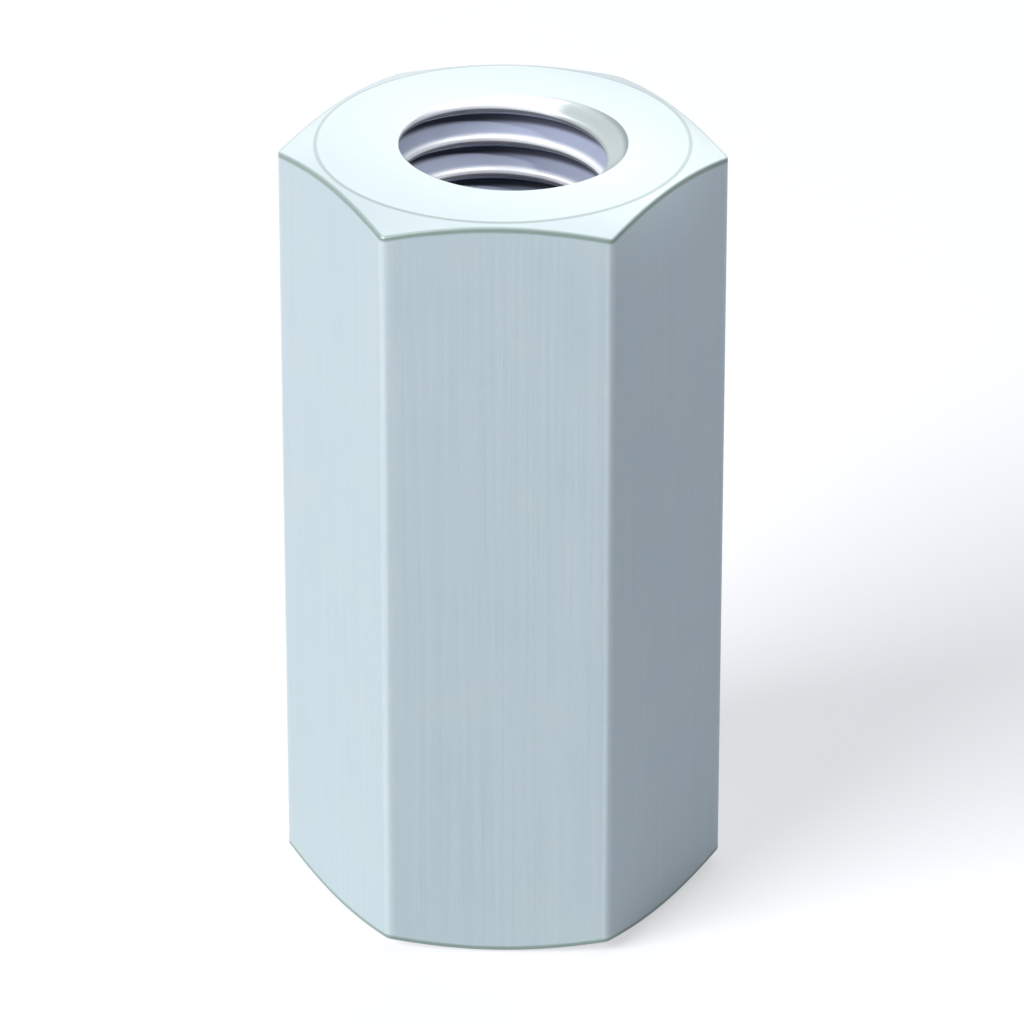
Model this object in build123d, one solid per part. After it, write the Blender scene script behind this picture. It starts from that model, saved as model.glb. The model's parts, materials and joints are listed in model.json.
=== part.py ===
"""Coupling nut: a long hexagon nut that joins two M12 threaded rods end to end.

Units are millimetres. The nut stands on one end: the origin is the centre of the
lower end face, +Z runs along the bore, two corners of the hexagon lie on the X axis
and two flats face along Y. The nut is one piece, turned from hexagon bar.
"""

from build123d import *

import os
from math import cos, pi, radians, sqrt, tan

# Hexagon bar
across_flats = 19.0
nut_length = 40.0
corner_radius = 0.4  # rounded long edges of the drawn bar

# Turned ends, alike at the top and the bottom
end_circle_diameter = 18.2  # flat ring of the end face, out to where the chamfer starts
chamfer_angle = 21.0  # degrees, measured from the end face

# Metric coarse thread, M12
thread_size = 12.0
thread_pitch = 1.75

# ISO 68-1: an internal thread is 5/8 of the basic triangle deep
thread_triangle_height = thread_pitch * sqrt(3) / 2
thread_depth = thread_triangle_height * 5 / 8
minor_diameter = thread_size - 2 * thread_depth  # the bore before it is tapped

turning_clearance = 1.0  # how far the turned outline passes beyond the corners


def hexagon_bar():
    """The bar: a hexagon with rounded corners, as long as the nut."""
    outline = RegularPolygon(across_flats / 2, side_count=6, major_radius=False)
    outline = fillet(outline.vertices(), corner_radius)
    return extrude(outline, nut_length)


def turned_envelope():
    """Everything inside the two end faces and their chamfers, turned about the bore.

    Each chamfer is a shallow cone. It cuts every flat in an arc that is highest at the
    middle of the flat and drops towards the corners.
    """
    face_radius = end_circle_diameter / 2
    outer_radius = across_flats / 2 / cos(pi / 6) + turning_clearance
    drop = (outer_radius - face_radius) * tan(radians(chamfer_angle))
    half_section = make_face(
        Polyline(
            (0, 0, 0),
            (face_radius, 0, 0),
            (outer_radius, 0, drop),
            (outer_radius, 0, nut_length - drop),
            (face_radius, 0, nut_length),
            (0, 0, nut_length),
            close=True,
        )
    )
    return revolve(half_section, Axis.Z)


def tapped_bore():
    """The through bore at the thread's minor diameter, open to both end faces."""
    return extrude(Circle(minor_diameter / 2), nut_length)


def nut_body():
    """The whole nut: bar, turned ends and bore."""
    return (hexagon_bar() & turned_envelope()) - tapped_bore()


os.makedirs("parts", exist_ok=True)
body = nut_body()
body.label = "nut_body"
export_step(body, "parts/nut_body.step")
print(f"minor diameter {minor_diameter:.4f} mm, volume {body.volume:.1f} mm3")
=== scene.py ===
"""Looks of a coupling nut: a long hexagon nut of zinc-plated steel, tapped right through.

The CAD frame gives the nut's size and the bore it is tapped in. Here the same nut is
made again with its thread, its small edge roundings and its finish, and it is set on a
pale floor under soft light. The nut's lengths are in millimetres, the studio's are in
metres, and angles are in degrees.
"""

import enum
import json
import logging
import math
from collections.abc import Iterable
from dataclasses import dataclass
from typing import NamedTuple

import bpy
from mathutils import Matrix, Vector


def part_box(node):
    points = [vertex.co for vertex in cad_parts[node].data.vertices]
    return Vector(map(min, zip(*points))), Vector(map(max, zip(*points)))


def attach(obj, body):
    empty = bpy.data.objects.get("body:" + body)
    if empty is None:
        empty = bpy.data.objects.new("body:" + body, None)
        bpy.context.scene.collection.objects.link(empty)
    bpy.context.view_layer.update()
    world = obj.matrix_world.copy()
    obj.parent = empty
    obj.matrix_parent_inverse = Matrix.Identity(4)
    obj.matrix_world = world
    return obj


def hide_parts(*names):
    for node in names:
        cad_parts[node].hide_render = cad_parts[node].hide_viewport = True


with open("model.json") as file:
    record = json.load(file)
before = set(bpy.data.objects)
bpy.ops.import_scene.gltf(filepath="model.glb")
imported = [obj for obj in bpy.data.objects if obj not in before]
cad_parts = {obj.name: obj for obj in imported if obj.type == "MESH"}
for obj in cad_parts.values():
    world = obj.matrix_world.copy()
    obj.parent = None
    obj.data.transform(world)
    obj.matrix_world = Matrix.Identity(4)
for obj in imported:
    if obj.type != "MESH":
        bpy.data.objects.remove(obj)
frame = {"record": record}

log = logging.getLogger("coupling_nut")

NODE = "nut_body"
MM = 0.001

Color = tuple[float, float, float]


class Hand(enum.Enum):
    """Which way a thread climbs, seen from its end."""

    RIGHT = 1
    LEFT = -1


class Ramp(NamedTuple):
    """Where a level is still 0, and where it is 1, above or below that."""

    none: float
    full: float


# ---------------------------------------------------------------- node arithmetic


class Quantity:
    """A number or field in a node tree, which Python's operators join with Math nodes."""

    def __init__(self, tree: bpy.types.NodeTree, socket: bpy.types.NodeSocket) -> None:
        """Wraps one output socket of a node tree."""
        self.tree = tree
        self.socket = socket

    def math(self, operation: str, *others: "Quantity | float") -> "Quantity":
        """Adds one Math node.

        Args:
            operation: the node's operation, such as "ADD".
            others: the operands that follow this one.

        Returns:
            The node's result.
        """
        node = self.tree.nodes.new("ShaderNodeMath")
        node.operation = operation
        for slot, value in zip(node.inputs, (self, *others)):
            feed(self.tree, slot, value)
        return Quantity(self.tree, node.outputs[0])

    def __add__(self, other: "Quantity | float") -> "Quantity":
        """This plus other."""
        return self.math("ADD", other)

    __radd__ = __add__

    def __mul__(self, other: "Quantity | float") -> "Quantity":
        """This times other."""
        return self.math("MULTIPLY", other)

    __rmul__ = __mul__

    def __sub__(self, other: "Quantity | float") -> "Quantity":
        """This less other."""
        return self.math("SUBTRACT", other)

    def __rsub__(self, other: float) -> "Quantity":
        """A number less this."""
        return self * -1.0 + other

    def __truediv__(self, other: "Quantity | float") -> "Quantity":
        """This over other."""
        return self.math("DIVIDE", other)

    def ramped(self, ramp: Ramp) -> "Quantity":
        """Goes smoothly from 0 to 1, in a material's tree.

        Args:
            ramp: where it is still 0, and where it is 1.

        Returns:
            The level.
        """
        node = self.tree.nodes.new("ShaderNodeMapRange")
        node.interpolation_type = "SMOOTHSTEP"
        ends = sorted(((ramp.none, 0.0), (ramp.full, 1.0)))
        feed(self.tree, node.inputs["Value"], self)
        for side, (place, level) in zip(("Min", "Max"), ends):
            node.inputs[f"From {side}"].default_value = place
            node.inputs[f"To {side}"].default_value = level
        return Quantity(self.tree, node.outputs["Result"])


def feed(tree: bpy.types.NodeTree, slot: bpy.types.NodeSocket, value: "Quantity | float") -> None:
    """Gives an input socket a link, if the value is a Quantity, or else a constant.

    Args:
        tree: the node tree.
        slot: the input socket.
        value: what it is to get.
    """
    if isinstance(value, Quantity):
        tree.links.new(value.socket, slot)
    else:
        slot.default_value = value


def mix(
    tree: bpy.types.NodeTree,
    share: Quantity,
    one: "bpy.types.NodeSocket | Color",
    other: "bpy.types.NodeSocket | Color",
) -> bpy.types.NodeSocket:
    """Mixes two colours.

    Args:
        tree: the node tree.
        share: how much of the other colour there is, from 0 to 1.
        one: the first colour, or the socket that gives it.
        other: the other colour, or its socket.

    Returns:
        The socket of the mixed colour.
    """
    node = tree.nodes.new("ShaderNodeMix")
    node.data_type = "RGBA"
    feed(tree, node.inputs[0], share)
    slots = [slot for slot in node.inputs if slot.type == "RGBA"]
    for slot, value in zip(slots, (one, other)):
        if isinstance(value, tuple):
            slot.default_value = (*value, 1.0)
        else:
            tree.links.new(value, slot)
    return next(slot for slot in node.outputs if slot.type == "RGBA")


def seen_share(tree: bpy.types.NodeTree) -> Quantity:
    """Tells direct looks, reflections and looks through glass from the light that surfaces get.

    Args:
        tree: the node tree of a material or world.

    Returns:
        1 for what is seen or mirrored, and 0 for what only lights something.
    """
    path = tree.nodes.new("ShaderNodeLightPath")
    seen = Quantity(tree, path.outputs["Is Camera Ray"])
    for ray in ("Is Glossy Ray", "Is Transmission Ray"):
        seen = seen.math("MAXIMUM", Quantity(tree, path.outputs[ray]))
    return seen


# ---------------------------------------------------------------- the nut's sizes


FLANK_SLOPE = math.sqrt(3)  # how steeply a 60 degree thread's flank leaves the axis


@dataclass(frozen=True)
class Thread:
    """An ISO metric thread, tapped into a bore that is later plated."""

    minor_diameter: float
    major_diameter: float = 12.0
    pitch: float = 1.75
    plating_room: float = 0.04  # how much deeper the tap cuts, to leave room for the zinc
    start_angle: float = 195.0  # where the crest runs out through the upper end face
    crest_flat: float = 1 / 4  # share of the pitch
    root_flat: float = 1 / 8  # share of the pitch
    crest_round: float = 0.24  # how far the crest's edges are eased
    root_round: float = 0.08
    crest_rows: tuple[float, ...] = (-1.1, -0.5, 0.0, 0.5, 1.1)  # over one eased edge
    root_rows: tuple[float, ...] = (-1.1, 0.0, 1.1)
    hand: Hand = Hand.RIGHT

    @property
    def bore_reach(self) -> float:
        """Radius within which everything belongs to the bore."""
        return self.major_diameter / 2 + self.plating_room

    def row_shares(self) -> tuple[float, ...]:
        """Places one turn's rows, closer together at the eased edges.

        Returns:
            How far each row lies below the middle of the crest, as a share of the pitch.
        """
        crest = self.crest_flat / 2 - self.plating_room / self.pitch / FLANK_SLOPE
        root = (1 - self.root_flat) / 2
        crest_ease = self.crest_round / self.pitch / FLANK_SLOPE
        root_ease = self.root_round / self.pitch / FLANK_SLOPE
        half = [crest + crest_ease * step for step in self.crest_rows]
        half += [root + root_ease * step for step in self.root_rows]
        return (*half, 1 / 2, *(1 - share for share in reversed(half)))


@dataclass(frozen=True)
class NutSizes:
    """The nut's sizes, and how finely its surfaces are divided."""

    across_flats: float
    length: float
    thread: Thread
    end_circle_diameter: float = 18.2
    chamfer_angle: float = 21.0
    corner_radius: float = 0.4
    arc_round: float = 0.12  # between a flat and a chamfer
    circle_round: float = 0.25  # between a chamfer and the end face
    burr_break: float = 0.07  # where the thread runs out through an end face
    break_middle: float = 0.3  # share of the break at which its middle row lies
    support: float = 0.06  # flat strip beside each rounding
    corner_columns: int = 6
    flat_columns: int = 24
    wall_rows: int = 15
    arc_steps: int = 4
    circle_steps: int = 2
    spare_turns: int = 2  # of the thread, which its rims cut off

    @property
    def columns(self) -> int:
        """How many sections go round the nut."""
        return 6 * (self.corner_columns + self.flat_columns)

    @property
    def end_rows(self) -> int:
        """Rows of one end: those of the two roundings, one on each side of them, and 4 at the rim."""
        return (self.arc_steps + 3) + (self.circle_steps + 3) + 4

    @property
    def arc_turn(self) -> float:
        """Angle between a flat and a chamfer, in radians."""
        return math.radians(90 - self.chamfer_angle)


# ---------------------------------------------------------------- finishes


BORE_EDGE = Ramp(0.12, 0.0)  # out from the thread's reach


class Surface:
    """A point of the nut's skin as a material sees it, in millimetres."""

    def __init__(self, tree: bpy.types.NodeTree) -> None:
        """Reads the point's place and the way that its surface faces.

        Args:
            tree: the material's node tree.
        """
        self.tree = tree
        self.x, self.y, self.z = (part / MM for part in self._split("ShaderNodeTexCoord", "Object"))
        self.radius = (self.x * self.x + self.y * self.y).math("SQRT")
        self.turn = self.y.math("ARCTAN2", self.x)
        facing_up = self._split("ShaderNodeNewGeometry", "Normal")[2]
        self.flatness = facing_up.math("ABSOLUTE")  # 1 where the surface is level, 0 where upright

    def _split(self, kind: str, output: str) -> list[Quantity]:
        """Takes a vector output of a new node apart.

        Args:
            kind: the node's type.
            output: the output's name.

        Returns:
            Its X, Y and Z.
        """
        source = self.tree.nodes.new(kind)
        split = self.tree.nodes.new("ShaderNodeSeparateXYZ")
        self.tree.links.new(source.outputs[output], split.inputs[0])
        return [Quantity(self.tree, split.outputs[axis]) for axis in "XYZ"]

    def depth(self, length: float) -> Quantity:
        """How far the point lies from the nearer end of a nut of that length."""
        return length / 2 - (self.z - length / 2).math("ABSOLUTE")

    def in_bore(self, reach: float) -> Quantity:
        """How much the point belongs to a bore of that radius, from 0 to 1."""
        return (self.radius - reach).ramped(BORE_EDGE)

    def out_along_flats(self) -> Quantity:
        """Measures how far out the point lies, square to the nearest flat.

        Returns:
            The distance from the axis.
        """
        turns = [math.radians(turn) for turn in (30, 90, 150)]
        out = [(self.x * math.cos(turn) + self.y * math.sin(turn)).math("ABSOLUTE") for turn in turns]
        return out[0].math("MAXIMUM", out[1]).math("MAXIMUM", out[2])

    def noise(self, x: Quantity, y: Quantity, z: Quantity, detail: float = 2.0) -> Quantity:
        """Makes a soft random pattern.

        Args:
            x: the pattern's first coordinate, in widths of one blotch.
            y: its second coordinate.
            z: its third coordinate.
            detail: how many finer layers lie on it.

        Returns:
            A level about 0, from roughly -1 to 1.
        """
        place = self.tree.nodes.new("ShaderNodeCombineXYZ")
        for slot, value in zip(place.inputs, (x, y, z)):
            feed(self.tree, slot, value)
        texture = self.tree.nodes.new("ShaderNodeTexNoise")
        texture.inputs["Scale"].default_value = 1.0
        texture.inputs["Detail"].default_value = detail
        self.tree.links.new(place.outputs[0], texture.inputs["Vector"])
        middle, spread = 0.5, 3.0
        return (Quantity(self.tree, texture.outputs[0]) - middle) * spread

    def blotches(self, width: float, detail: float) -> Quantity:
        """A random pattern that is alike in all directions, with blotches of that width."""
        return self.noise(self.x / width, self.y / width, self.z / width, detail)


@dataclass(frozen=True)
class ToolMarks:
    """The fine marks of drawing, turning and tapping, each on its own faces."""

    line: float = 0.22  # width of a drawn line
    line_length: float = 13.2
    ring: float = 0.16  # width of a turned ring
    ring_change: float = 0.7  # how much a ring changes on its way round
    tapped_length: float = 6.0  # along the axis
    turned: Ramp = Ramp(0.55, 0.8)  # flatness of what the lathe cut

    def level(self, skin: Surface, sizes: NutSizes) -> Quantity:
        """Draws the marks.

        Args:
            skin: the point of the surface.
            sizes: the nut's sizes.

        Returns:
            A level about 0.
        """
        drawn = skin.noise(skin.x / self.line, skin.y / self.line, skin.z / self.line_length)
        round_x, round_y = skin.turn.math("COSINE"), skin.turn.math("SINE")
        turned = skin.noise(
            skin.radius / self.ring, round_x * self.ring_change, round_y * self.ring_change
        )
        thread = sizes.thread
        helix = skin.z * (2 * math.pi / thread.pitch) - skin.turn * thread.hand.value
        around = thread.pitch / (2 * math.pi * self.ring)
        tapped = skin.noise(
            helix.math("COSINE") * around,
            helix.math("SINE") * around,
            round_x + skin.z / self.tapped_length,
        )
        outside = drawn + (turned - drawn) * skin.flatness.ramped(self.turned)
        return outside + (tapped - outside) * skin.in_bore(thread.bore_reach)


@dataclass(frozen=True)
class Edges:
    """The long corners, worn paler and painted with a highlight, and the dark seams along the turned
    edges.
    """

    worn_highlight: Ramp = Ramp(0.42, 0.16)  # along a flat, from its corner
    nick_width: float = 1.5
    nick_height: float = 0.8
    nick_depth: float = 0.08
    seam_nicks: float = 0.3  # depth of the nicks in a seam, as a share of a corner's
    arc: Ramp = Ramp(0.28, 0.14)  # on a flat, down from its arc
    arc_share: float = 0.85
    flat: Ramp = Ramp(0.93, 0.5)  # flatness of a flat and its rounding
    lip: Ramp = Ramp(0.17, 0.06)  # on a chamfer, in from the arc
    lip_share: float = 0.6
    chamfer: Ramp = Ramp(0.5, 0.8)  # flatness of a chamfer
    circle: Ramp = Ramp(0.13, 0.04)  # on both sides of the end circle
    circle_share: float = 0.5
    end: Ramp = Ramp(0.3, 0.2)  # down from the end face

    def shares(self, skin: Surface, sizes: NutSizes) -> tuple[Quantity, Quantity]:
        """Finds the worn corners, with their painted highlight, and the seams.

        Args:
            skin: the point of the surface.
            sizes: the nut's sizes.

        Returns:
            How much of a worn corner with its painted highlight the point is, and how much of a seam,
            from 0 to 1.
        """
        apothem, circle = sizes.across_flats / 2, sizes.end_circle_diameter / 2
        along_flat = (skin.radius * skin.radius - apothem ** 2).math("MAXIMUM", 0.0).math("SQRT")
        from_corner = apothem / math.sqrt(3) - along_flat
        nicks = self.nick_depth * skin.noise(
            skin.x / self.nick_width, skin.y / self.nick_width, skin.z / self.nick_height
        )
        # A paler band along each long corner: wear, and a painted highlight.
        worn_highlight = (from_corner + nicks).ramped(self.worn_highlight)

        depth = skin.depth(sizes.length)
        past_circle = skin.radius - circle
        below_arc = depth - past_circle * math.tan(math.radians(sizes.chamfer_angle))
        arc = (below_arc + nicks * self.seam_nicks).ramped(self.arc) * skin.flatness.ramped(self.flat)
        inset = apothem - skin.out_along_flats()
        lip = inset.ramped(self.lip) * skin.flatness.ramped(self.chamfer)
        ring = past_circle.math("ABSOLUTE").ramped(self.circle) * depth.ramped(self.end)
        seam = (arc * self.arc_share).math("MAXIMUM", ring * self.circle_share)
        return worn_highlight, seam.math("MAXIMUM", lip * self.lip_share)


@dataclass(frozen=True)
class ThreadTone:
    """The plating in the thread, with painted highlights on its crests and near the end faces, and
    painted shade in its roots, under its crests and where its root runs out.
    """

    flank: Color = (0.45, 0.49, 0.62)
    crest: Color = (0.88, 0.90, 0.92)  # painted highlight on the crests, and near the end faces
    run_out_shade: Color = (0.40, 0.45, 0.435)  # painted shade near the end faces: toward the roots, and around where the root runs out through the upper end face
    root: Color = (0.05, 0.055, 0.08)  # painted shade in the roots and under the crests
    crest_highlight: Ramp = Ramp(0.3, 0.03)  # out from the crest
    root_shade: Ramp = Ramp(0.28, 0.02)  # in from the root
    mouth: Ramp = Ramp(1.1, 0.8)  # painted light, down from an end face
    mouth_share: float = 0.9
    mouth_unshaded: float = 0.7  # share of the painted root shade that is left out near the end faces
    mouth_root: Ramp = Ramp(0.4, 0.8)  # out from the crest
    run_out_shade_angle: Ramp = Ramp(0.62, 0.78)  # of the painted shade, by the cosine of the angle from where the root runs out through the upper end face
    upper: Ramp = Ramp(0.0, 1.0)  # up from the nut's middle
    underside: Ramp = Ramp(0.76, 0.95)  # painted shade under the crests, by the cosine of the turn from the middle of a crest's underside
    underside_turn: float = 35.52  # from the middle of the crest
    underside_share: float = 0.85

    def tone(self, skin: Surface, sizes: NutSizes) -> tuple[bpy.types.NodeSocket, Quantity]:
        """Colours the thread.

        Args:
            skin: the point of the surface.
            sizes: the nut's sizes.

        Returns:
            The colour's socket, and how much painted shade the point has in its root, from 0 to 1.
        """
        tree, thread = skin.tree, sizes.thread
        past_crest = skin.radius - thread.minor_diameter / 2
        from_start = skin.turn - math.radians(thread.start_angle)
        # Painted shade near the end faces: around where the root runs out, at the upper end only, and
        # toward the roots.
        mouth_shade = (from_start + math.pi).math("COSINE").ramped(self.run_out_shade_angle)
        mouth_shade = mouth_shade * (skin.z - sizes.length / 2).ramped(self.upper)
        mouth_shade = mouth_shade.math("MAXIMUM", past_crest.ramped(self.mouth_root))
        # Painted light near the end faces: the thread is made pale there, with less painted shade in
        # its roots.
        at_mouth = skin.depth(sizes.length).ramped(self.mouth) * self.mouth_share
        # Painted highlight: paler toward the crests.
        tone = mix(tree, past_crest.ramped(self.crest_highlight), self.flank, self.crest)
        tone = mix(tree, at_mouth, tone, mix(tree, mouth_shade, self.crest, self.run_out_shade))

        # Painted shade in the roots, with less of it near the end faces.
        root_shade = (thread.bore_reach - skin.radius).ramped(self.root_shade)
        root_shade = root_shade * (1.0 - at_mouth * self.mouth_unshaded)
        # Painted shade under each crest.
        climb = (skin.z - sizes.length) * (2 * math.pi / thread.pitch) - from_start * thread.hand.value
        under = (climb + math.radians(self.underside_turn)).math("COSINE").ramped(self.underside)
        dark = root_shade.math("MAXIMUM", under * self.underside_share)
        return mix(tree, dark, tone, self.root), root_shade


class Strengths(NamedTuple):
    """How strongly each pattern changes one property of the plating."""

    marks: float
    grain: float
    cloud: float
    worn_highlight: float


@dataclass(frozen=True)
class ZincPlate:
    """Bright zinc plating with a pale blue passivation, over drawn and turned steel.

    The bar's drawing left fine lines along the flats, the lathe left rings on the end
    faces and chamfers, and the tap left lines along the thread. They show through.
    """

    name: str = "zinc_plated_steel"
    color: Color = (0.475, 0.558, 0.568)
    blue: Color = (0.432, 0.525, 0.568)  # where the passivation is thicker
    blue_share: float = 0.5
    pale: Color = (0.588, 0.654, 0.666)  # where the plating is burnished, and along the worn corners, where it is also a painted highlight
    pale_share: float = 0.16
    turned: Color = (0.665, 0.755, 0.765)  # on the ends and chamfers, which the lathe cut, made paler as painted light from above
    lit_end_share: float = 0.8
    lit_end_faces: Ramp = Ramp(0.6, 0.9)  # their flatness
    seam: Color = (0.205, 0.28, 0.235)
    end_face: Ramp = Ramp(0.93, 0.98)  # flatness of what isn't in the bore
    tones: Strengths = Strengths(marks=0.18, grain=0.06, cloud=0.45, worn_highlight=0.45)
    gloss: Strengths = Strengths(marks=0.05, grain=0.03, cloud=0.03, worn_highlight=-0.04)
    metallic: float = 0.34
    bore_metallic: float = 0.25
    roughness: float = 0.37
    root_shade_roughness: float = 0.35  # on top of the plating's
    smoothest: float = 0.30
    relief: float = 0.004  # height of the tool marks
    cloud: float = 3.5  # width of a blotch in the passivation
    cloud_detail: float = 3.0
    grain: float = 0.15  # width of a crystal spot of the zinc
    grain_detail: float = 1.0
    tool_marks: ToolMarks = ToolMarks()
    edges: Edges = Edges()
    thread_tone: ThreadTone = ThreadTone()

    def material(self, sizes: NutSizes) -> bpy.types.Material:
        """Builds the material.

        Args:
            sizes: the nut's sizes, which say where its edges are.

        Returns:
            The new material.
        """
        material = bpy.data.materials.new(self.name)
        material.use_nodes = True
        tree = material.node_tree
        shader = tree.nodes["Principled BSDF"]
        skin = Surface(tree)
        marks = self.tool_marks.level(skin, sizes)
        grain = skin.blotches(self.grain, self.grain_detail)
        cloud = skin.blotches(self.cloud, self.cloud_detail)
        worn_highlight, seam = self.edges.shares(skin, sizes)
        bore = skin.in_bore(sizes.thread.bore_reach) * (1.0 - skin.flatness.ramped(self.end_face))
        # The thread's colour, with its painted highlights and shade, and how much painted shade lies in
        # its roots.
        in_thread, root_shade = self.thread_tone.tone(skin, sizes)

        tone = mix(tree, cloud * self.tones.cloud + self.blue_share, self.blue, self.color)
        pale = marks * self.tones.marks + grain * self.tones.grain + self.pale_share
        # Paler along the long corners: wear, and a painted highlight.
        tone = mix(tree, pale + worn_highlight * self.tones.worn_highlight, tone, self.pale)
        # Painted light: the level ends and chamfers are paler, as if lit from above.
        turned = skin.flatness.ramped(self.lit_end_faces) * self.lit_end_share
        tone = mix(tree, turned, tone, self.turned)
        tone = mix(tree, seam, tone, self.seam)
        tree.links.new(mix(tree, bore, tone, in_thread), shader.inputs["Base Color"])

        metallic = bore * (self.bore_metallic - self.metallic) + self.metallic
        feed(tree, shader.inputs["Metallic"], metallic)
        rough = marks * self.gloss.marks + grain * self.gloss.grain + cloud * self.gloss.cloud
        rough = rough + worn_highlight * self.gloss.worn_highlight + self.roughness
        # Rougher in the roots, where the painted shade lies.
        rough = rough + bore * root_shade * self.root_shade_roughness
        feed(tree, shader.inputs["Roughness"], rough.math("MAXIMUM", self.smoothest))

        bump = tree.nodes.new("ShaderNodeBump")
        bump.inputs["Distance"].default_value = self.relief * MM
        feed(tree, bump.inputs["Height"], marks)
        tree.links.new(bump.outputs["Normal"], shader.inputs["Normal"])
        return material


@dataclass(frozen=True)
class StudioWhite:
    """Matt pale paper under the nut."""

    name: str = "studio_floor"
    color: Color = (0.56, 0.57, 0.59)
    glow: float = 0.53  # light of its own, which is only seen or mirrored
    glow_color: Color = (1.0, 0.98, 0.955)

    def material(self) -> bpy.types.Material:
        """Builds the material.

        Returns:
            The new material.
        """
        material = bpy.data.materials.new(self.name)
        material.use_nodes = True
        tree = material.node_tree
        shader = tree.nodes["Principled BSDF"]
        shader.inputs["Base Color"].default_value = (*self.color, 1.0)
        shader.inputs["Roughness"].default_value = 1.0
        shader.inputs["Specular IOR Level"].default_value = 0.0
        shader.inputs["Emission Color"].default_value = (*self.glow_color, 1.0)
        feed(tree, shader.inputs["Emission Strength"], seen_share(tree) * self.glow)
        return material


# ---------------------------------------------------------------- the nut


SIXTH = math.pi / 3  # radians from one corner of the hexagon to the next
SEWING_REACH = 1e-6  # metres between points that are sewn into one


class NutTree:
    """The Geometry Nodes tree that makes the nut from its named sizes."""

    LENGTHS = {
        "Across Flats": "across_flats",
        "Length": "length",
        "End Circle Diameter": "end_circle_diameter",
        "Corner Radius": "corner_radius",
        "Arc Round": "arc_round",
        "Circle Round": "circle_round",
        "Burr Break": "burr_break",
        "Support": "support",
    }
    THREAD_LENGTHS = {
        "Major Diameter": "major_diameter",
        "Minor Diameter": "minor_diameter",
        "Pitch": "pitch",
        "Crest Round": "crest_round",
        "Plating Room": "plating_room",
        "Root Round": "root_round",
    }

    def __init__(self, sizes: NutSizes, finish: bpy.types.Material) -> None:
        """Builds the tree.

        Args:
            sizes: the nut's sizes, which become the tree's inputs.
            finish: the material that the nut is dressed in.
        """
        self.sizes = sizes
        self.finish = finish
        self.tree = bpy.data.node_groups.new("coupling_nut", "GeometryNodeTree")
        self.values: dict[str, float] = {}
        self.inputs = self._interface()
        self.apothem = self.inputs["Across Flats"] * 0.5
        self.corner_centre, self.corner_reach = self._corner()
        self._lay_out()

    # -- inputs

    def _interface(self) -> dict[str, Quantity]:
        """Returns:
            Input name to the quantity that it gives inside the tree.
        """
        sizes, thread = self.sizes, self.sizes.thread
        numbers = {name: getattr(sizes, key) * MM for name, key in self.LENGTHS.items()}
        numbers |= {name: getattr(thread, key) * MM for name, key in self.THREAD_LENGTHS.items()}
        numbers["Chamfer Angle"] = math.radians(sizes.chamfer_angle)
        numbers["Start Angle"] = math.radians(thread.start_angle)
        interface = self.tree.interface
        for name, value in numbers.items():
            item = interface.new_socket(name, in_out="INPUT", socket_type="NodeSocketFloat")
            self.values[item.identifier] = value
        interface.new_socket("Geometry", in_out="OUTPUT", socket_type="NodeSocketGeometry")
        group = self.tree.nodes.new("NodeGroupInput")
        return {name: Quantity(self.tree, group.outputs[name]) for name in numbers}

    # -- columns: one radial section of the nut each

    def _corner(self) -> tuple[Quantity, Quantity]:
        """Works out the hexagon's rounded corner.

        Returns:
            How far from the axis its arc is centred, and the angle that half of it takes.
        """
        radius = self.inputs["Corner Radius"]
        tilt = SIXTH / 2
        centre = (self.apothem - radius) / math.cos(tilt)
        reach = (radius * math.sin(tilt)).math("ARCTAN2", centre + radius * math.cos(tilt))
        return centre, reach

    def _angle(self, column: Quantity) -> tuple[Quantity, Quantity]:
        """Places a column round the nut, closer together at the rounded corners.

        Args:
            column: the column's number, from 0 at the corner on +X.

        Returns:
            Its angle round the nut, and its angle from the nearest corner.
        """
        sizes = self.sizes
        per_side = sizes.corner_columns + sizes.flat_columns
        half = sizes.corner_columns // 2
        side = ((column + 0.5) / per_side).math("FLOOR")
        step = column - side * per_side
        fine = self.corner_reach / half
        coarse = (SIXTH - self.corner_reach * 2.0) / sizes.flat_columns
        first = step.math("MINIMUM", half)
        middle = (step - half).math("MAXIMUM", 0.0).math("MINIMUM", sizes.flat_columns)
        last = (step - (half + sizes.flat_columns)).math("MAXIMUM", 0.0)
        within = (first + last) * fine + middle * coarse
        return side * SIXTH + within, within.math("MINIMUM", SIXTH - within)

    def _wall_radius(self, from_corner: Quantity) -> Quantity:
        """How far the hexagon's outline is from the axis.

        Args:
            from_corner: the angle from the nearest corner.

        Returns:
            The outline's radius at that angle.
        """
        radius = self.inputs["Corner Radius"]
        flat = self.apothem / (SIXTH / 2 - from_corner).math("COSINE")
        across = self.corner_centre * from_corner.math("SINE")
        reach = (radius * radius - across * across).math("MAXIMUM", 0.0).math("SQRT")
        arc = self.corner_centre * from_corner.math("COSINE") + reach
        on_arc = from_corner.math("LESS_THAN", self.corner_reach)
        return flat + (arc - flat) * on_arc

    def _edge_depth(self, wall: Quantity) -> Quantity:
        """How far below the end face the chamfer meets a wall of that radius."""
        past_circle = wall - self.inputs["End Circle Diameter"] * 0.5
        return past_circle * self.inputs["Chamfer Angle"].math("TANGENT")

    def _arc_tangent(self) -> Quantity:
        """How far the rounding between a flat and a chamfer reaches from their edge."""
        return self.inputs["Arc Round"] * math.tan(self.sizes.arc_turn / 2)

    def _crest_height(self, angle: Quantity) -> Quantity:
        """How high the thread's first crest lies at an angle round the nut."""
        lift = self.inputs["Pitch"] / (2 * math.pi * self.sizes.thread.hand.value)
        return self.inputs["Length"] + (angle - self.inputs["Start Angle"]) * lift

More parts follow.
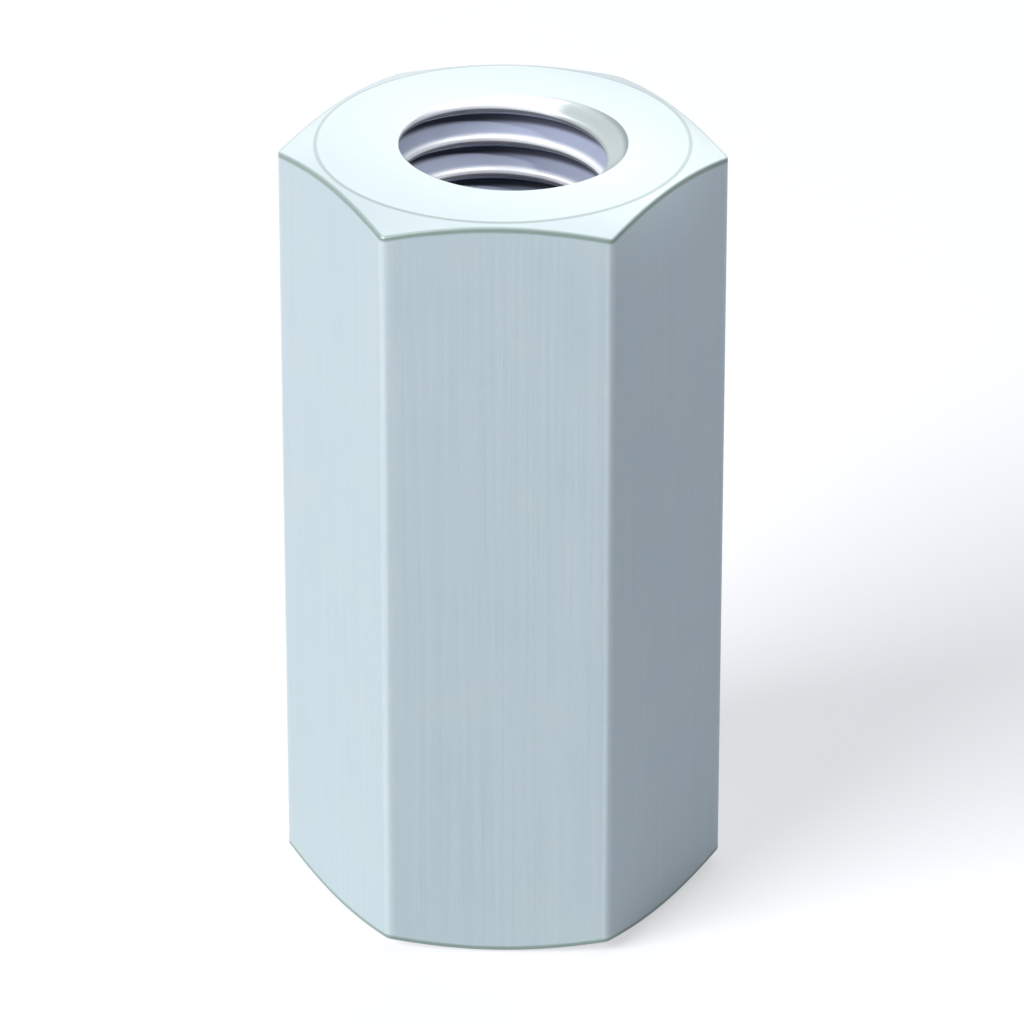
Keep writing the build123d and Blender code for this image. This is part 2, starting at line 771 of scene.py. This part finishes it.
    def _thread_radius(self, angle: Quantity, height: Quantity) -> Quantity:
        """The thread's radius at a point of the bore, with eased crests and roots.

        Args:
            angle: the point's angle round the nut.
            height: its height above the lower end.

        Returns:
            The radius from the axis to the thread's surface.
        """
        inputs, pitch = self.inputs, self.inputs["Pitch"]
        turns = (height - self._crest_height(angle) + pitch * 0.5) / pitch
        from_crest = (turns.math("FRACT") - 0.5).math("ABSOLUTE") * pitch
        minor = inputs["Minor Diameter"] * 0.5
        major = inputs["Major Diameter"] * 0.5 + inputs["Plating Room"]
        from_flat = from_crest - pitch * (self.sizes.thread.crest_flat / 2)
        flank = minor + from_flat * FLANK_SLOPE + inputs["Plating Room"]
        eased = flank.math("SMOOTH_MIN", major, inputs["Root Round"])
        return eased.math("SMOOTH_MAX", minor, inputs["Crest Round"])

    # -- surfaces

    def _surface(self, rows: int) -> tuple[Quantity, Quantity, Quantity, bpy.types.Node]:
        """Starts a surface of columns and rows.

        Args:
            rows: how many rows it has.

        Returns:
            Its points' angle round the nut, angle from the nearest corner and row number,
            and the grid node.
        """
        grid = self.tree.nodes.new("GeometryNodeMeshGrid")
        grid.inputs["Vertices X"].default_value = self.sizes.columns + 1
        grid.inputs["Vertices Y"].default_value = rows
        index = Quantity(self.tree, self.tree.nodes.new("GeometryNodeInputIndex").outputs[0])
        column = ((index + 0.5) / rows).math("FLOOR")
        angle, from_corner = self._angle(column)
        return angle, from_corner, index - column * rows, grid

    def _placed(
        self, grid: bpy.types.Node, angle: Quantity, radius: Quantity, height: Quantity
    ) -> bpy.types.NodeSocket:
        """Moves a grid's points to their places round the axis.

        Args:
            grid: the node that makes the points.
            angle: each point's angle round the nut.
            radius: its distance from the axis.
            height: its height above the lower end.

        Returns:
            The socket of the placed surface.
        """
        nodes, links = self.tree.nodes, self.tree.links
        place = nodes.new("ShaderNodeCombineXYZ")
        feed(self.tree, place.inputs["X"], radius * angle.math("COSINE"))
        feed(self.tree, place.inputs["Y"], radius * angle.math("SINE"))
        feed(self.tree, place.inputs["Z"], height)
        move = nodes.new("GeometryNodeSetPosition")
        links.new(grid.outputs["Mesh"], move.inputs["Geometry"])
        links.new(place.outputs[0], move.inputs["Position"])
        return move.outputs["Geometry"]

    def _pick(self, row: Quantity, choices: "Iterable[Quantity | float]") -> Quantity:
        """Chooses one value for each row.

        Args:
            row: the row's number.
            choices: a value for each row, in order.

        Returns:
            The chosen value.
        """
        choices = list(choices)
        node = self.tree.nodes.new("GeometryNodeIndexSwitch")
        node.data_type = "FLOAT"
        while len(node.index_switch_items) < len(choices):
            node.index_switch_items.new()
        feed(self.tree, node.inputs[0], row + 0.5)
        for slot, choice in zip(list(node.inputs)[1:], choices):
            feed(self.tree, slot, choice)
        return Quantity(self.tree, node.outputs[0])

    def _arc_section(self, wall: Quantity) -> list[tuple[Quantity, Quantity]]:
        """The rounding from a flat into the chamfer, with a row on each side of it.

        Args:
            wall: the hexagon's radius at this column.

        Returns:
            Each row's radius and its depth below the end face.
        """
        inputs, turn, steps = self.inputs, self.sizes.arc_turn, self.sizes.arc_steps
        edge, tangent = self._edge_depth(wall), self._arc_tangent()
        past = tangent + inputs["Support"]
        rows = [(wall, edge + past)]
        for step in range(steps + 1):
            swing = turn * step / steps
            rows.append((
                wall - inputs["Arc Round"] * (1 - math.cos(swing)),
                edge + tangent - inputs["Arc Round"] * math.sin(swing),
            ))
        slope = inputs["Chamfer Angle"]
        rows.append((wall - past * slope.math("COSINE"), edge - past * slope.math("SINE")))
        return rows

    def _circle_section(self) -> list[tuple[Quantity, "Quantity | float"]]:
        """The rounding from the chamfer into the end face, with a row on each side of it.

        Returns:
            Each row's radius and its depth below the end face.
        """
        inputs, steps = self.inputs, self.sizes.circle_steps
        circle, slope = inputs["End Circle Diameter"] * 0.5, inputs["Chamfer Angle"]
        tangent = inputs["Circle Round"] * (slope * 0.5).math("TANGENT")
        past = tangent + inputs["Support"]
        rows = [(circle + past * slope.math("COSINE"), past * slope.math("SINE"))]
        for step in range(steps + 1):
            swing = slope * (1 - step / steps)
            rows.append((
                circle - tangent + inputs["Circle Round"] * swing.math("SINE"),
                inputs["Circle Round"] * (1.0 - swing.math("COSINE")),
            ))
        rows.append((circle - past, 0.0))
        return rows

    def _rim_section(self, rim: Quantity) -> list[tuple[Quantity, "Quantity | float"]]:
        """The end face's inner edge, broken where the thread cuts it.

        Args:
            rim: the thread's radius where it runs out.

        Returns:
            Each row's radius and its depth below the end face.
        """
        burr = self.inputs["Burr Break"]
        middle = burr * self.sizes.break_middle
        return [
            (rim + burr + self.inputs["Support"], 0.0),
            (rim + burr, 0.0),
            (rim + middle, middle),
            (rim, burr),
        ]

    def _end_surface(self, top: bool) -> bpy.types.NodeSocket:
        """One end of the nut, from just under its chamfer to the rim of its thread.

        Args:
            top: whether it is the upper end.

        Returns:
            The socket of the surface.
        """
        angle, from_corner, row, grid = self._surface(self.sizes.end_rows)
        length, burr = self.inputs["Length"], self.inputs["Burr Break"]
        rim = self._thread_radius(angle, length - burr if top else burr)
        rows = self._arc_section(self._wall_radius(from_corner))
        rows += self._circle_section() + self._rim_section(rim)
        if not top:
            rows.reverse()
        radius = self._pick(row, (place[0] for place in rows))
        depth = self._pick(row, (place[1] for place in rows))
        return self._placed(grid, angle, radius, length - depth if top else depth)

    def _wall_surface(self) -> bpy.types.NodeSocket:
        """The six flats and their rounded corners, between the two ends' first rows.

        Returns:
            The socket of the surface.
        """
        rows = self.sizes.wall_rows
        angle, from_corner, row, grid = self._surface(rows)
        wall = self._wall_radius(from_corner)
        depth = self._edge_depth(wall) + (self._arc_tangent() + self.inputs["Support"])
        height = depth + (self.inputs["Length"] - depth * 2.0) * (row / (rows - 1))
        return self._placed(grid, angle, wall, height)

    def _thread_surface(self) -> bpy.types.NodeSocket:
        """The thread, from its upper rim down to its lower one.

        Each column's rows follow the helix. Rows that would lie beyond a rim stop at it.

        Returns:
            The socket of the surface.
        """
        inputs, thread = self.inputs, self.sizes.thread
        shares = thread.row_shares()
        turns = math.ceil(self.sizes.length / thread.pitch) + self.sizes.spare_turns
        angle, _, row, grid = self._surface(turns * len(shares))
        turn = ((row + 0.5) / len(shares)).math("FLOOR")
        share = self._pick(row - turn * len(shares), shares)
        first = self._crest_height(angle) + inputs["Pitch"]
        height = first - (turn + share) * inputs["Pitch"]
        burr = inputs["Burr Break"]
        height = height.math("MINIMUM", inputs["Length"] - burr).math("MAXIMUM", burr)
        return self._placed(grid, angle, self._thread_radius(angle, height), height)

    def _lay_out(self) -> None:
        """Joins the surfaces, sews them together, smooths them and dresses them."""
        nodes, links = self.tree.nodes, self.tree.links
        join = nodes.new("GeometryNodeJoinGeometry")
        for surface in (
            self._wall_surface(),
            self._end_surface(top=True),
            self._thread_surface(),
            self._end_surface(top=False),
        ):
            links.new(surface, join.inputs[0])
        sew = nodes.new("GeometryNodeMergeByDistance")
        sew.inputs["Distance"].default_value = SEWING_REACH
        smooth = nodes.new("GeometryNodeSetShadeSmooth")
        realize = nodes.new("GeometryNodeRealizeInstances")
        dress = nodes.new("GeometryNodeSetMaterial")
        dress.inputs["Material"].default_value = self.finish
        out = nodes.new("NodeGroupOutput")
        chain = (join, sew, smooth, realize, dress, out)
        for one, following in zip(chain, chain[1:]):
            links.new(one.outputs[0], following.inputs[0])


@dataclass
class CouplingNut:
    """The nut: one piece, made by its node tree and dressed in zinc."""

    sizes: NutSizes
    finish: ZincPlate = ZincPlate()

    @classmethod
    def from_frame(cls) -> "CouplingNut":
        """Takes the nut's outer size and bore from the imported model.

        Returns:
            The nut, ready to build.
        """
        low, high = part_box(NODE)
        mounts = {mount["name"]: mount for mount in frame["record"]["mounts"]}
        bore = mounts["thread_top"]["dims"]["r_mm"]
        thread = Thread(minor_diameter=2 * bore)
        return cls(NutSizes((high.y - low.y) / MM, (high.z - low.z) / MM, thread))

    def build(self) -> bpy.types.Object:
        """Makes the nut's mesh, plain and ready to ride.

        Returns:
            The nut's object.
        """
        material = self.finish.material(self.sizes)
        nodes = NutTree(self.sizes, material)
        seed = bpy.data.objects.new("seed", bpy.data.meshes.new("seed"))
        bpy.context.scene.collection.objects.link(seed)
        modifier = seed.modifiers.new("coupling_nut", "NODES")
        modifier.node_group = nodes.tree
        for identifier, value in nodes.values.items():
            modifier[identifier] = value
        evaluated = seed.evaluated_get(bpy.context.evaluated_depsgraph_get())
        mesh = bpy.data.meshes.new_from_object(evaluated)
        mesh.name = "coupling_nut"
        bpy.data.objects.remove(seed)
        mesh.materials.clear()
        mesh.materials.append(material)
        mesh.polygons.foreach_set("material_index", [0] * len(mesh.polygons))
        nut = bpy.data.objects.new("coupling_nut", mesh)
        bpy.context.scene.collection.objects.link(nut)
        return nut

    def dress(self) -> bpy.types.Object:
        """Builds the nut and puts it in the place of the CAD solid.

        Returns:
            The nut's object.
        """
        nut = self.build()
        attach(nut, "root")
        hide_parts(NODE)
        return nut


# ---------------------------------------------------------------- the studio


def direction(azimuth: float, elevation: float) -> Vector:
    """The way from the nut to what stands at those angles.

    Args:
        azimuth: 0 in front of the nut, on -Y, and 90 on its right, on +X.
        elevation: above the horizon.

    Returns:
        The unit vector.
    """
    turn, lift = math.radians(azimuth), math.radians(elevation)
    return Vector((
        math.sin(turn) * math.cos(lift),
        -math.cos(turn) * math.cos(lift),
        math.sin(lift),
    ))


@dataclass(frozen=True)
class Lamp:
    """A lamp, and where it hangs as seen from what it is aimed at."""

    name: str
    azimuth: float
    elevation: float
    distance: float
    power: float  # watts

    def hang(self, light: bpy.types.Light, target: Vector) -> None:
        """Hangs a light in the lamp's place.

        Args:
            light: the light.
            target: the point that it is aimed at.
        """
        light.energy = self.power
        lamp = bpy.data.objects.new(self.name, light)
        away = direction(self.azimuth, self.elevation)
        lamp.location = target + away * self.distance
        lamp.rotation_euler = away.to_track_quat("Z", "Y").to_euler()
        bpy.context.scene.collection.objects.link(lamp)


@dataclass(frozen=True)
class Softbox(Lamp):
    """A square area lamp."""

    width: float

    def build(self, target: Vector) -> None:
        """Makes the lamp and aims it.

        Args:
            target: the point that it is aimed at.
        """
        light = bpy.data.lights.new(self.name, "AREA")
        light.shape = "SQUARE"
        light.size = self.width
        self.hang(light, target)


@dataclass(frozen=True)
class Snoot(Lamp):
    """A small lamp with a narrow soft-edged beam."""

    beam: float
    softness: float = 0.6  # share of the beam that fades out
    bulb: float = 0.004  # radius

    def build(self, target: Vector) -> None:
        """Makes the lamp and aims it.

        Args:
            target: the point that it is aimed at.
        """
        light = bpy.data.lights.new(self.name, "SPOT")
        light.spot_size = math.radians(self.beam)
        light.spot_blend = self.softness
        light.shadow_soft_size = self.bulb
        self.hang(light, target)


@dataclass
class Studio:
    """Floor, world, lamps and camera."""

    centre: Vector
    azimuth: float = 1.65
    elevation: float = 27.54
    camera_distance: float = 0.3724
    lens: float = 263.6
    clip_start: float = 0.01
    aim_right: float = 0.000442  # from the nut's centre to what the camera aims at
    aim_down: float = 0.000189
    floor_reach: float = 1.5
    paper: StudioWhite = StudioWhite()
    room_seen: Color = (1.0, 1.0, 1.0)
    room_light: Color = (0.0, 0.03, 0.10)  # on matt surfaces
    lamps: tuple[Softbox, ...] = (
        Softbox("key_lamp", azimuth=-51, elevation=29, distance=1.5, width=0.9, power=29.3),
        Softbox("low_back_lamp", azimuth=178, elevation=26, distance=1.5, width=0.9, power=2.4),
        Softbox("side_back_lamp", azimuth=150, elevation=45, distance=1.5, width=0.6, power=2.4),
        Softbox("left_back_lamp", azimuth=202, elevation=19, distance=1.5, width=0.5, power=0.55),
        Softbox("right_back_lamp", azimuth=160, elevation=21, distance=1.5, width=0.5, power=0.9),
        Softbox("high_back_lamp", azimuth=185, elevation=64, distance=1.5, width=0.8, power=0.6),
        Softbox("top_lamp", azimuth=180, elevation=88, distance=1.5, width=1.0, power=3.3),
    )
    bore_lamp: Snoot = Snoot("bore_lamp", azimuth=50, elevation=40, distance=0.6, beam=1.15, power=12.0)
    bore_aim: tuple[float, float, float] = (-0.002, 0.0025, -0.0035)  # from the upper end's middle

    def build(self) -> None:
        """Sets up the whole studio."""
        self._floor()
        self._world()
        for lamp in self.lamps:
            lamp.build(self.centre)
        upper_end = Vector((0.0, 0.0, self.centre.z * 2))
        self.bore_lamp.build(upper_end + Vector(self.bore_aim))
        self._camera()
        bpy.context.scene.view_settings.view_transform = "Standard"

    def _floor(self) -> None:
        """Lays the floor under the nut."""
        reach = self.floor_reach
        mesh = bpy.data.meshes.new("floor")
        corners = [(-reach, -reach, 0), (reach, -reach, 0), (reach, reach, 0), (-reach, reach, 0)]
        mesh.from_pydata(corners, [], [(0, 1, 2, 3)])
        mesh.materials.append(self.paper.material())
        floor = bpy.data.objects.new("floor", mesh)
        bpy.context.scene.collection.objects.link(floor)

    def _world(self) -> None:
        """Makes the room: dim where it lights the scene, white where it is seen or mirrored."""
        world = bpy.data.worlds.new("studio")
        world.use_nodes = True
        bpy.context.scene.world = world
        tree = world.node_tree
        color = mix(tree, seen_share(tree), self.room_light, self.room_seen)
        tree.links.new(color, tree.nodes["Background"].inputs["Color"])

    def _camera(self) -> None:
        """Sets up the camera, a long lens that looks down on the nut."""
        data = bpy.data.cameras.new("camera")
        data.lens = self.lens
        data.clip_start = self.clip_start
        camera = bpy.data.objects.new("camera", data)
        away = direction(self.azimuth, self.elevation)
        turn = away.to_track_quat("Z", "Y")
        right, up = turn @ Vector((1, 0, 0)), turn @ Vector((0, 1, 0))
        aim = self.centre + right * self.aim_right - up * self.aim_down
        camera.location = aim + away * self.camera_distance
        camera.rotation_euler = turn.to_euler()
        bpy.context.scene.collection.objects.link(camera)
        bpy.context.scene.camera = camera


def main() -> None:
    """Builds the nut and the studio."""
    logging.basicConfig(level=logging.INFO, format="%(name)s: %(message)s")
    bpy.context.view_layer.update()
    nut = CouplingNut.from_frame().dress()
    log.info("%s: %d vertices, %d faces", nut.name, len(nut.data.vertices), len(nut.data.polygons))
    low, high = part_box(NODE)
    studio = Studio(centre=(low + high) / 2)
    studio.build()
    log.info("studio: %d large lamps and %s", len(studio.lamps), studio.bore_lamp.name)


if __name__ == "__main__":
    main()
